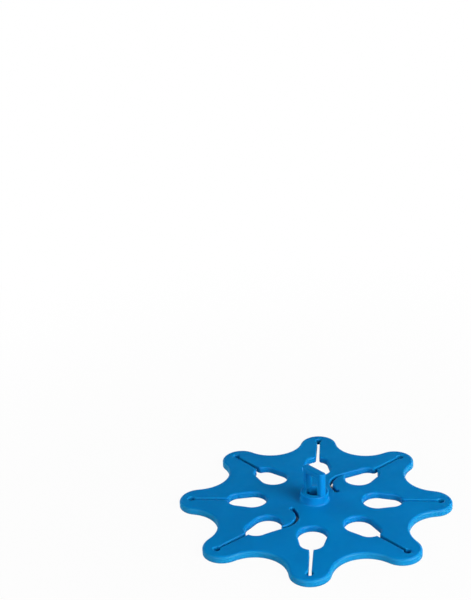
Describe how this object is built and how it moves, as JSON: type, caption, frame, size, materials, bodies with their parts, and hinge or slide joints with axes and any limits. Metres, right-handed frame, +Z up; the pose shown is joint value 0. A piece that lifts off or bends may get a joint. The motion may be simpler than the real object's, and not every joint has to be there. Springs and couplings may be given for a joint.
{
  "type": "balloon cluster holder",
  "caption": "Star-shaped moulded plate whose teardrop holes and slits grip balloon necks, hung by a swivelling eye that snaps into its central collar.",
  "frame": {"origin": "centre of the plate's flat underside, on the axis of the collar", "axes": "+Z up along the swivel axis, from the plate to the eye; +Y along an arm with a curled ribbon slot; +X along the width of the eye"},
  "size_m": [0.16, 0.16, 0.0237],
  "materials": {
    "plate_plastic": "moulded satin gloss, blue",
    "eye_plastic": "moulded satin gloss, blue"
  },
  "bodies": {
    "plate": {"holder_plate": "plate_plastic"},
    "eye": {"hanging_eye": "eye_plastic"}
  },
  "joints": [
    {"name": "eye_swivel", "type": "hinge", "parent": "plate", "child": "eye", "pos_m": [0, 0, 0.0096], "axis": [0, 0, 1], "continuous": true}
  ]
}
